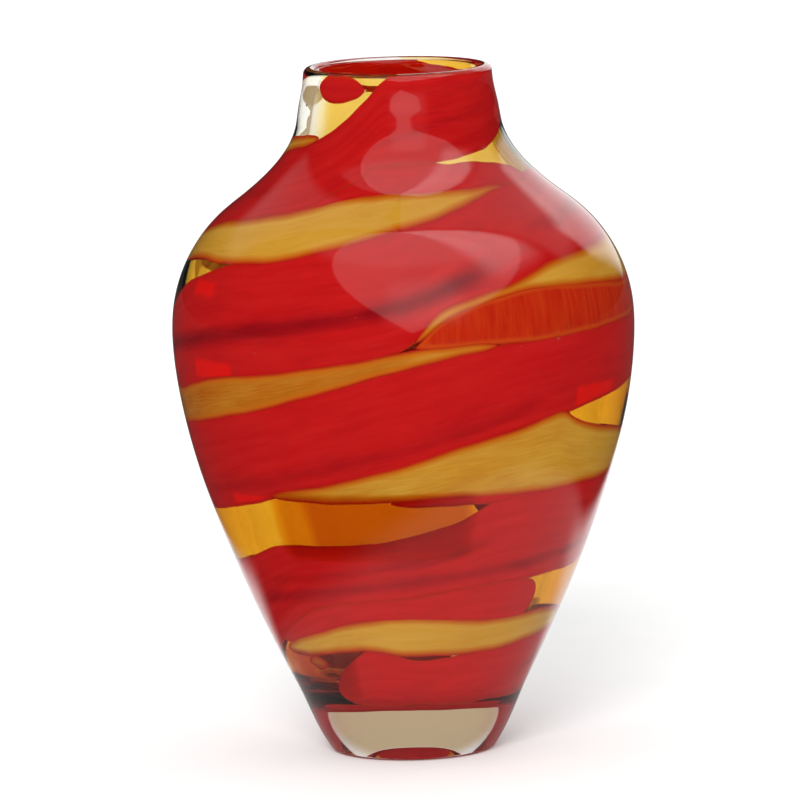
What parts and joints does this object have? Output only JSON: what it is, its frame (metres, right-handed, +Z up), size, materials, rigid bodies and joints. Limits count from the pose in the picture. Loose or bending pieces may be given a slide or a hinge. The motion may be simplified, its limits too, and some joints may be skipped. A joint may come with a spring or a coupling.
{
  "type": "hand blown art glass vase",
  "caption": "Broad-shouldered cased glass vase with a narrow neck, a heavy clear base and red and ochre glass trails winding up round an amber liner.",
  "frame": {"origin": "centre of the foot, on the surface that the vase stands on", "axes": "+Z up along the axis of revolution, -Y towards the side taken as the front, +X to the right seen from the front"},
  "size_m": [0.161, 0.161, 0.24],
  "materials": {
    "clear_glass": "fire polished, ground and polished under the foot",
    "amber_glass": "smooth, transparent",
    "red_glass": "smooth, dense, streaked",
    "orange_glass": "smooth, dense, ribbed streaks",
    "ochre_glass": "smooth, nearly opaque"
  },
  "bodies": {
    "root": {"clear_casing": "clear_glass", "amber_liner": "amber_glass", "red_trail_front": "red_glass", "red_trail_back": "red_glass", "red_shoulder_tongue": "red_glass", "red_foot_tongue": "red_glass", "red_sliver": "red_glass", "red_lip_chip": "red_glass", "orange_wedge": "orange_glass", "ochre_trail_low": "ochre_glass", "ochre_trail_mid": "ochre_glass", "ochre_trail_high": "ochre_glass", "ochre_foot_fleck": "ochre_glass", "red_foot_gather": "red_glass"}
  },
  "joints": []
}
